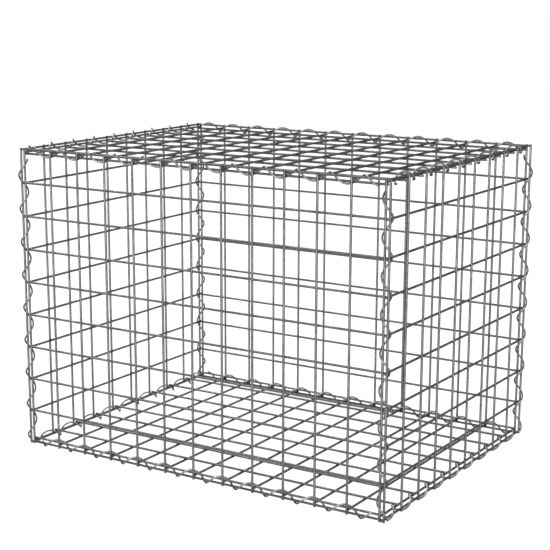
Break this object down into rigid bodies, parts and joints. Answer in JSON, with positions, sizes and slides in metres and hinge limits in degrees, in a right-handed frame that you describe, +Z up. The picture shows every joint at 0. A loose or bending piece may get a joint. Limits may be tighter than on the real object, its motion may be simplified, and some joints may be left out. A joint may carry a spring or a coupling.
{
  "type": "welded mesh gabion basket",
  "caption": "Empty closed gabion basket: welded square steel mesh panels laced along every edge by wire spirals, to be filled with stone as one bay of a retaining wall.",
  "frame": {"origin": "on the ground under the middle of the basket", "axes": "+X along the basket, -Y to the front, +Z up"},
  "size_m": [0.9314, 0.698, 0.6931],
  "materials": {
    "mesh_wire": "galvanised, dull silver grey",
    "spiral_wire": "galvanised, a little brighter"
  },
  "bodies": {
    "root": {"front_panel": "mesh_wire", "back_panel": "mesh_wire", "left_panel": "mesh_wire", "right_panel": "mesh_wire", "base_panel": "mesh_wire", "lid_panel": "mesh_wire", "front_left_spiral": "spiral_wire", "front_right_spiral": "spiral_wire", "back_left_spiral": "spiral_wire", "back_right_spiral": "spiral_wire", "base_front_spiral": "spiral_wire", "base_back_spiral": "spiral_wire", "base_left_spiral": "spiral_wire", "base_right_spiral": "spiral_wire", "lid_front_spiral": "spiral_wire", "lid_back_spiral": "spiral_wire", "lid_left_spiral": "spiral_wire", "lid_right_spiral": "spiral_wire"}
  },
  "joints": []
}
